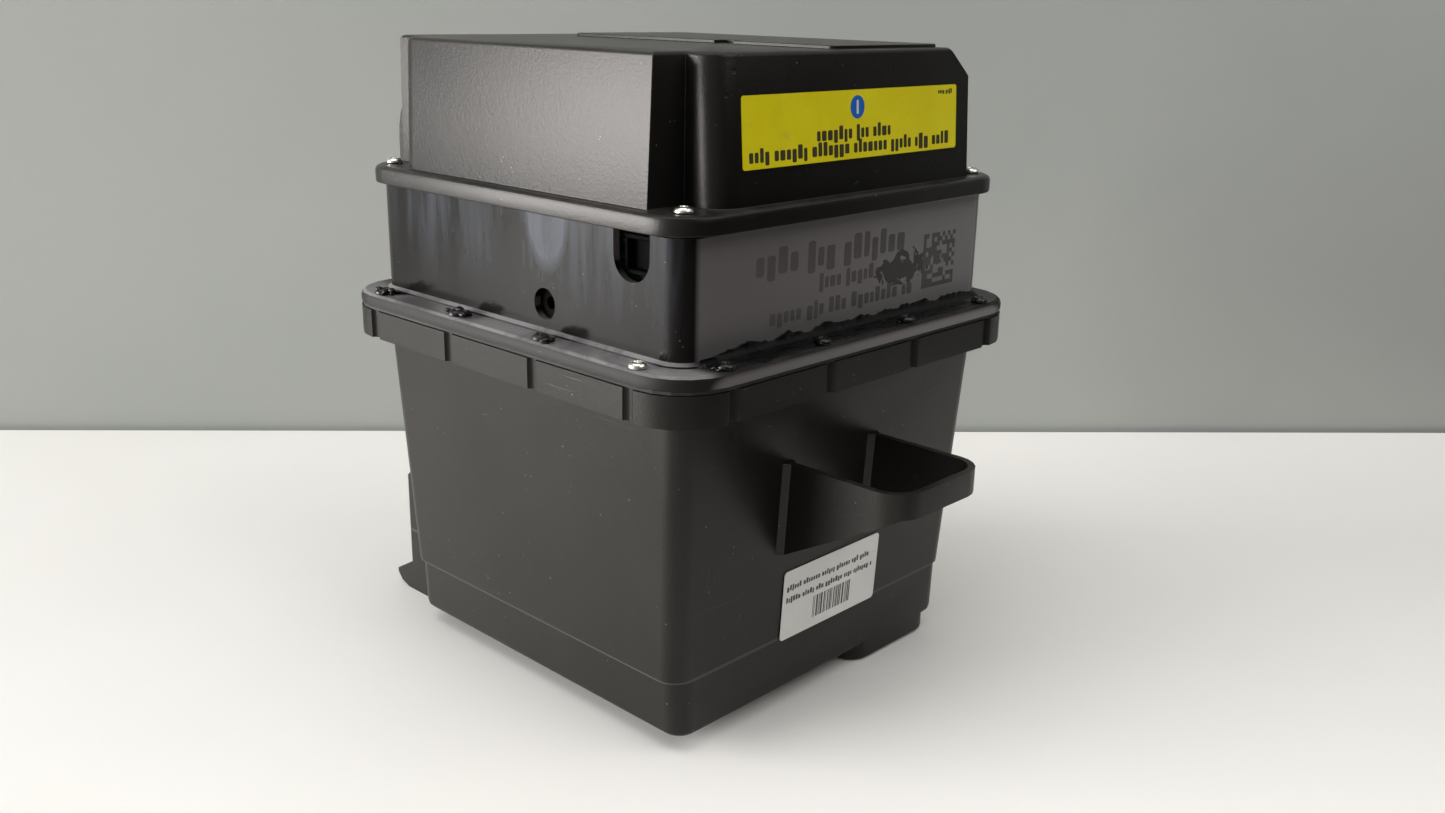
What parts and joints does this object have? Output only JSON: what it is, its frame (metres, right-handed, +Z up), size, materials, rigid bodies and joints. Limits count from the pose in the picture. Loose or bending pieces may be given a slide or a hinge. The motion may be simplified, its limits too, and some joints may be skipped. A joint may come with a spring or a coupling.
{
  "type": "ink core of an inkjet date coder",
  "caption": "Ink core of a date coder: black tank with a strap handle, glossy manifold housing and bolted cover over a gear pump, filter and valves.",
  "frame": {"origin": "centre of the overall box, on the surface the core stands on", "axes": "+Z up, -Y towards the front face with the handle and both labels, +X towards the side without the slot and the port"},
  "size_m": [0.212, 0.2748, 0.2671],
  "materials": {
    "tank_plastic": "fine satin moulded polyethylene",
    "housing_plastic": "glossy, smeared with wiped ink",
    "cover_plastic": "satin",
    "seal_rubber": "matte",
    "screw_steel": "bright zinc plated",
    "notice_label": "semi-gloss printed film",
    "paper_label": "matte paper",
    "machined_alloy": "fine milled",
    "steel": "drawn and polished",
    "gear_brass": "hobbed",
    "natural_plastic": "natural acetal",
    "board": "green solder mask"
  },
  "bodies": {
    "core": {"reservoir_tank": "tank_plastic", "manifold_housing": "housing_plastic", "tank_gasket": "seal_rubber", "cover_seal": "seal_rubber", "white_label": "paper_label", "pump_body": "machined_alloy", "pump_cover": "machined_alloy", "manifold_block": "machined_alloy", "motor_plate": "steel", "motor_can": "steel", "filter_head": "natural_plastic", "main_filter": "natural_plastic", "damper_base": "cover_plastic", "damper_lid": "cover_plastic", "pressure_sensor": "gear_brass", "circuit_board": "board", "harness_socket": "cover_plastic", "port_fitting": "cover_plastic", "float_stem": "steel", "pickup_tube": "steel", "suction_strainer": "natural_plastic", "return_tube": "steel", "flange_screw_left_1": "screw_steel", "flange_screw_left_2": "screw_steel", "flange_screw_left_3": "screw_steel", "flange_screw_left_4": "screw_steel", "flange_screw_right_1": "screw_steel", "flange_screw_right_2": "screw_steel", "flange_screw_right_3": "screw_steel", "flange_screw_right_4": "screw_steel", "flange_screw_front_1": "screw_steel", "flange_screw_front_2": "screw_steel", "flange_screw_front_3": "screw_steel", "flange_screw_front_4": "screw_steel", "flange_screw_back_1": "screw_steel", "flange_screw_back_2": "screw_steel", "flange_screw_back_3": "screw_steel", "flange_screw_back_4": "screw_steel", "valve_coil_1": "cover_plastic", "valve_coil_2": "cover_plastic", "valve_coil_3": "cover_plastic"},
    "cover": {"top_cover": "cover_plastic", "yellow_label": "notice_label", "cover_screw_1": "screw_steel", "cover_screw_2": "screw_steel", "cover_screw_3": "screw_steel", "cover_screw_4": "screw_steel"},
    "pump_drive": {"motor_rotor": "steel", "drive_gear": "gear_brass"},
    "pump_idler": {"idler_gear": "gear_brass"},
    "ink_float": {"level_float": "cover_plastic"},
    "plunger_1": {"valve_plunger_1": "steel"},
    "plunger_2": {"valve_plunger_2": "steel"},
    "plunger_3": {"valve_plunger_3": "steel"}
  },
  "joints": [
    {"name": "cover_lift", "type": "slide", "parent": "core", "child": "cover", "axis": [0, 0, 1], "range_m": [0, 0.08]},
    {"name": "pump_spin", "type": "hinge", "parent": "core", "child": "pump_drive", "pos_m": [0.052, 0.0589, 0.17], "axis": [0, 0, 1], "continuous": true},
    {"name": "idler_spin", "type": "hinge", "parent": "core", "child": "pump_idler", "pos_m": [0.0355, 0.0589, 0.17], "axis": [0, 0, 1], "continuous": true},
    {"name": "float_rise", "type": "slide", "parent": "core", "child": "ink_float", "axis": [0, 0, 1], "range_m": [0, 0.08]},
    {"name": "plunger_1_stroke", "type": "slide", "parent": "core", "child": "plunger_1", "axis": [0, 0, 1], "range_m": [0, 0.003], "stiffness_N_per_m": 120, "springref_m": -0.003},
    {"name": "plunger_2_stroke", "type": "slide", "parent": "core", "child": "plunger_2", "axis": [0, 0, 1], "range_m": [0, 0.003], "stiffness_N_per_m": 120, "springref_m": -0.003},
    {"name": "plunger_3_stroke", "type": "slide", "parent": "core", "child": "plunger_3", "axis": [0, 0, 1], "range_m": [0, 0.003], "stiffness_N_per_m": 120, "springref_m": -0.003}
  ],
  "couplings": [
    {"joint": "idler_spin", "follows": "pump_spin", "ratio": -1}
  ]
}
